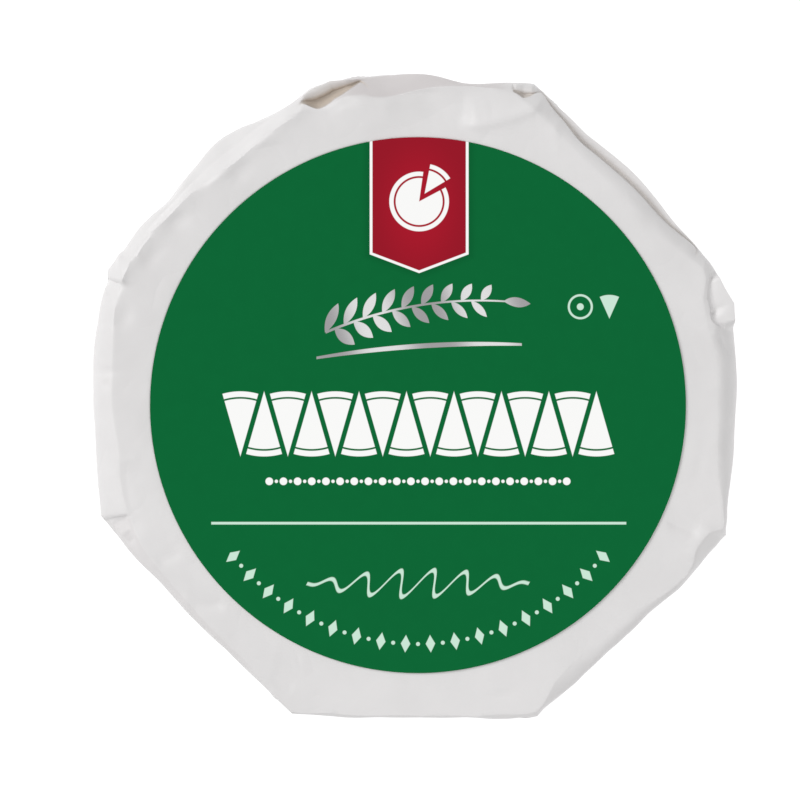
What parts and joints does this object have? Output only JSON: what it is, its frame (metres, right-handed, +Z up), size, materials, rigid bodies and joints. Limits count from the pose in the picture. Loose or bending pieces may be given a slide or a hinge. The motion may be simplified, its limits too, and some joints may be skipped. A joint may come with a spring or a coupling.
{
  "type": "paper-wrapped soft cheese wheel",
  "caption": "Small soft-ripened cheese wheel in a pleated white paper wrap, with a round green and red label on top; lies flat on a table or a shop shelf.",
  "frame": {"origin": "on the wheel's axis, at the underside of the base label, where the part stands", "axes": "+Z up along the wheel's axis, out of the front label; +Y towards the top of the front label's print; +X to its right"},
  "size_m": [0.0842, 0.0842, 0.0261],
  "materials": {
    "rind": "matte",
    "wrap_paper": "satin",
    "front_label_paper": "satin",
    "base_label_paper": "matte"
  },
  "bodies": {
    "root": {"cheese_wheel": "rind", "paper_wrap": "wrap_paper", "front_label": "front_label_paper", "base_seal_label": "base_label_paper"}
  },
  "joints": []
}
